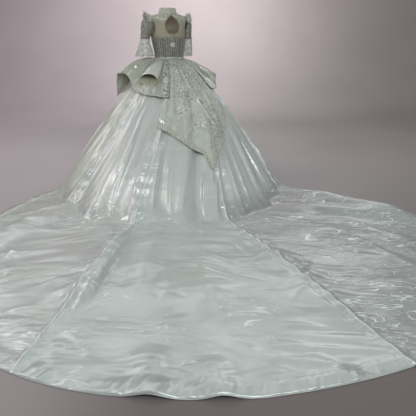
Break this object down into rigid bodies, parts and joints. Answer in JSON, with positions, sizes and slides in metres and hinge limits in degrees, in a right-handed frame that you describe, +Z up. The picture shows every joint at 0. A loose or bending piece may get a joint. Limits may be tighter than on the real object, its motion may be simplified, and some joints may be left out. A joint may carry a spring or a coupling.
{
  "type": "wedding dress",
  "caption": "Ball gown with a long round train, draped hip loops, a pointed embroidered back overlay, ribbed corset, sheer keyhole back, high collar and bell sleeves.",
  "frame": {"origin": "middle of the waist, level with the seam of bodice and skirt", "axes": "+Z up, -Y the wearer's front, +X the wearer's left; the train lies behind, along +Y"},
  "size_m": [3.3213, 3.9296, 1.5742],
  "materials": {
    "satin": "glossy, finely creased satin",
    "lace": "beaded and sequined lace",
    "illusion": "sheer net",
    "beads": "glass beads and sequins"
  },
  "bodies": {
    "root": {"bell_left_inner": "illusion", "bell_left_outer": "illusion", "bell_right_inner": "illusion", "bell_right_outer": "illusion", "bodice_front_left": "lace", "bodice_front_right": "lace", "collar_button": "beads", "collar_left": "beads", "collar_right": "beads", "corset_back_left": "lace", "corset_back_right": "lace", "corset_flower": "beads", "epaulette_left": "beads", "epaulette_right": "beads", "hip_loop_left": "satin", "hip_loop_left_roll": "satin", "hip_loop_right": "satin", "overlay_back": "lace", "overlay_flower_1": "beads", "overlay_flower_2": "beads", "overlay_flower_3": "beads", "overlay_flower_4": "beads", "overlay_flower_5": "beads", "overlay_flower_6": "beads", "overlay_trim": "beads", "skirt_back_left": "satin", "skirt_back_right": "satin", "skirt_centre_back": "satin", "skirt_front": "satin", "skirt_side_left": "satin", "skirt_side_right": "satin", "sleeve_left_inner": "lace", "sleeve_left_outer": "lace", "sleeve_right_inner": "lace", "sleeve_right_outer": "lace", "waist_trim": "beads", "yoke_back_left": "illusion", "yoke_back_right": "illusion", "yoke_front": "illusion"}
  },
  "joints": []
}
